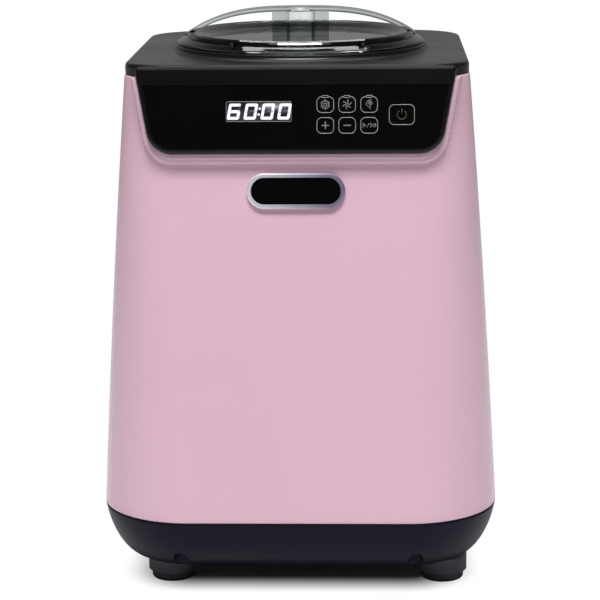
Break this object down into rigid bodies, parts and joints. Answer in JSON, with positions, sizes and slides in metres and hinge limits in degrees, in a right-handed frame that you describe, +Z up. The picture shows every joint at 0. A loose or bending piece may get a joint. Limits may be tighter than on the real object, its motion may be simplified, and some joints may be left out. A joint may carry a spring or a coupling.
{
  "type": "ice cream maker",
  "caption": "Free-standing compressor ice cream maker with lift-off clear lid, removable bowl, paddle and tilted touch panel.",
  "frame": {"origin": "centre of the footprint, on the surface that the feet stand on", "axes": "+Z up along the bowl's axis, the control panel faces -Y, +X is to the right seen from the front"},
  "size_m": [0.263, 0.294, 0.374],
  "materials": {
    "shell_paint": "gloss",
    "black_cover": "matte",
    "deck_black": "matte",
    "base_black": "satin",
    "panel_gloss": "gloss",
    "badge_chrome": "polished",
    "badge_black": "gloss",
    "clear_plastic": "clear",
    "screw_steel": "plain",
    "foot_rubber": "matte",
    "seal_rubber": "matte",
    "lid_rubber": "matte",
    "galvanised": "galvanised",
    "compressor_black": "satin",
    "copper": "bright",
    "aluminium": "satin",
    "bowl_aluminium": "anodised",
    "fan_black": "matte",
    "motor_steel": "satin",
    "gear_acetal": "satin",
    "paddle_white": "satin",
    "board_green": "solder mask",
    "board_parts": "mixed",
    "display_block": "satin",
    "bearing_bronze": "plain",
    "foam": "foam"
  },
  "bodies": {
    "appliance": {"housing_shell": "shell_paint", "rear_cover": "black_cover", "rear_cover_screws": "screw_steel", "cord_gland": "seal_rubber", "top_deck": "deck_black", "deck_screws": "screw_steel", "control_panel_glass": "panel_gloss", "display_module": "display_block", "display_board": "board_green", "display_board_screws": "screw_steel", "badge_bezel": "badge_chrome", "badge_insert": "badge_black", "base_tray": "base_black", "base_screws": "screw_steel", "foot_front_left": "foot_rubber", "foot_front_right": "foot_rubber", "foot_rear_left": "foot_rubber", "foot_rear_right": "foot_rubber", "foot_screws": "screw_steel", "chassis_plate": "galvanised", "support_frame": "galvanised", "compressor": "compressor_black", "compressor_grommets": "seal_rubber", "compressor_studs": "screw_steel", "terminal_cover": "fan_black", "condenser_tubes": "copper", "condenser_fins": "aluminium", "condenser_end_plates": "galvanised", "fan_shroud": "fan_black", "fan_motor": "motor_steel", "filter_drier": "copper", "discharge_pipe": "copper", "liquid_pipe": "copper", "capillary_tube": "copper", "suction_pipe": "copper", "power_board": "board_green", "power_board_parts": "board_parts", "board_bracket": "galvanised", "gearbox_housing": "motor_steel", "gearbox_cover": "motor_steel", "gearbox_screws": "screw_steel", "intermediate_shaft": "screw_steel", "drive_motor": "motor_steel", "spindle_bearing": "bearing_bronze", "shaft_seal": "seal_rubber", "evaporator_drum": "aluminium", "evaporator_coil": "copper", "insulation_jacket": "foam", "well_gasket": "seal_rubber"},
    "bowl": {"mixing_bowl": "bowl_aluminium"},
    "paddle": {"paddle": "paddle_white"},
    "lid": {"lid": "clear_plastic", "lid_seal": "lid_rubber"},
    "spindle": {"drive_spindle": "screw_steel", "output_gear": "gear_acetal"},
    "intermediate_gear": {"intermediate_gear": "gear_acetal"},
    "motor_rotor": {"motor_pinion": "screw_steel"},
    "fan": {"fan_shaft": "screw_steel", "fan_blade": "fan_black"}
  },
  "joints": [
    {"name": "bowl_lift", "type": "slide", "parent": "appliance", "child": "bowl", "axis": [0, 0, 1], "range_m": [0, 0.15]},
    {"name": "lid_lift", "type": "slide", "parent": "bowl", "child": "lid", "axis": [0, 0, 1], "range_m": [0, 0.12]},
    {"name": "paddle_spin", "type": "hinge", "parent": "bowl", "child": "paddle", "pos_m": [0, 0, 0.2352], "axis": [0, 0, 1], "continuous": true},
    {"name": "spindle_spin", "type": "hinge", "parent": "appliance", "child": "spindle", "pos_m": [0, 0, 0.2036], "axis": [0, 0, 1], "continuous": true},
    {"name": "intermediate_spin", "type": "hinge", "parent": "appliance", "child": "intermediate_gear", "pos_m": [0.03465, -0.03465, 0.1936], "axis": [0, 0, 1], "continuous": true},
    {"name": "motor_spin", "type": "hinge", "parent": "appliance", "child": "motor_rotor", "pos_m": [0.03465, -0.0784, 0.1836], "axis": [0, 0, 1], "continuous": true},
    {"name": "fan_spin", "type": "hinge", "parent": "appliance", "child": "fan", "pos_m": [0.036, 0.0855, 0.11], "axis": [0, 1, 0], "continuous": true}
  ],
  "couplings": [
    {"joint": "paddle_spin", "follows": "spindle_spin", "ratio": 1},
    {"joint": "intermediate_spin", "follows": "spindle_spin", "ratio": -3},
    {"joint": "motor_spin", "follows": "spindle_spin", "ratio": 12}
  ]
}
